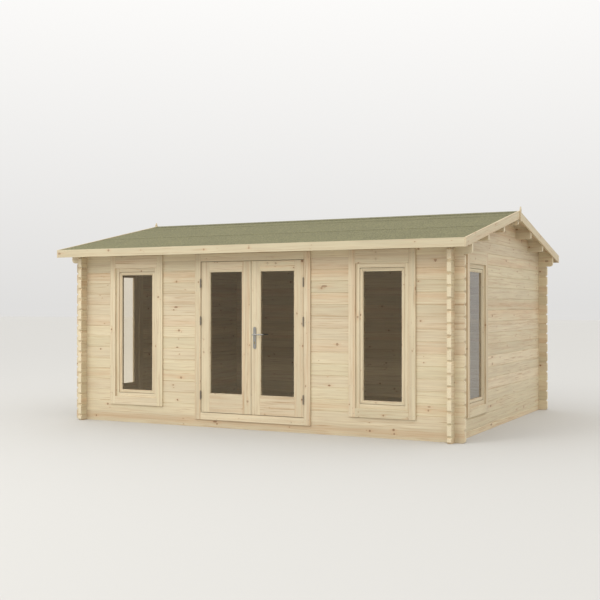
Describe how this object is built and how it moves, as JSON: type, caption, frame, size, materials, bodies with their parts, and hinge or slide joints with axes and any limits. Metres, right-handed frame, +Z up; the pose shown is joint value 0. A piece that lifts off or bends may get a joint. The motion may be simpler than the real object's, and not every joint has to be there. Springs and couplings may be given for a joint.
{
  "type": "log cabin",
  "caption": "Pale timber garden cabin with interlocked log walls, a low felt-covered gable roof, tall fixed windows and glazed outward-opening double doors with a lever handle.",
  "frame": {"origin": "ground level, at the middle of the cabin's plan", "axes": "+X along the front wall to the right as seen from the front, -Y towards the front with the doors, +Z up"},
  "size_m": [5.462, 4.432, 2.6988],
  "materials": {
    "log_pine": "planed untreated softwood logs",
    "trim_pine": "planed untreated softwood boards",
    "roof_pine": "planed tongued boards",
    "floor_pine": "planed floor boards on sawn joists",
    "roof_felt": "green mineral-faced roofing felt",
    "clear_glass": "clear glazing",
    "satin_steel": "satin metal door furniture",
    "dark_steel": "dark barrel hinges"
  },
  "bodies": {
    "root": {"front_sill_log": "log_pine", "front_wall_left": "log_pine", "front_wall_right": "log_pine", "front_wall_plate": "log_pine", "back_wall": "log_pine", "back_wall_plate": "log_pine", "left_gable_wall": "log_pine", "right_gable_wall": "log_pine", "front_purlins": "log_pine", "ridge_purlin": "log_pine", "back_purlins": "log_pine", "front_roof_boards": "roof_pine", "back_roof_boards": "roof_pine", "front_roof_felt": "roof_felt", "back_roof_felt": "roof_felt", "front_fascia": "trim_pine", "back_fascia": "trim_pine", "left_barge_boards": "trim_pine", "right_barge_boards": "trim_pine", "gable_finials": "trim_pine", "floor_joists": "floor_pine", "floor_boards": "floor_pine", "door_frame": "trim_pine", "door_casing": "trim_pine", "hinge_pins": "dark_steel", "front_left_window_casing": "trim_pine", "front_left_window_frame": "trim_pine", "front_left_window_glass": "clear_glass", "front_right_window_casing": "trim_pine", "front_right_window_frame": "trim_pine", "front_right_window_glass": "clear_glass", "left_gable_window_casing": "trim_pine", "left_gable_window_frame": "trim_pine", "left_gable_window_glass": "clear_glass", "right_gable_window_casing": "trim_pine", "right_gable_window_frame": "trim_pine", "right_gable_window_glass": "clear_glass"},
    "left_door": {"left_door_leaf": "trim_pine", "left_door_glass": "clear_glass", "left_hinge_sleeves": "dark_steel"},
    "right_door": {"right_door_leaf": "trim_pine", "right_door_glass": "clear_glass", "right_hinge_sleeves": "dark_steel", "handle_plates": "satin_steel"},
    "lever": {"door_lever": "satin_steel"}
  },
  "joints": [
    {"name": "left_door_swing", "type": "hinge", "parent": "root", "child": "left_door", "pos_m": [-0.698, -1.968, 1.1], "axis": [0, 0, -1], "range_deg": [0, 120]},
    {"name": "right_door_swing", "type": "hinge", "parent": "root", "child": "right_door", "pos_m": [0.698, -1.968, 1.1], "axis": [0, 0, 1], "range_deg": [0, 120]},
    {"name": "lever_turn", "type": "hinge", "parent": "right_door", "child": "lever", "pos_m": [0.051, -1.93, 1.132], "axis": [0, 1, 0], "range_deg": [0, 40], "stiffness_Nm_per_rad": 1.5, "springref_deg": -14.32}
  ]
}
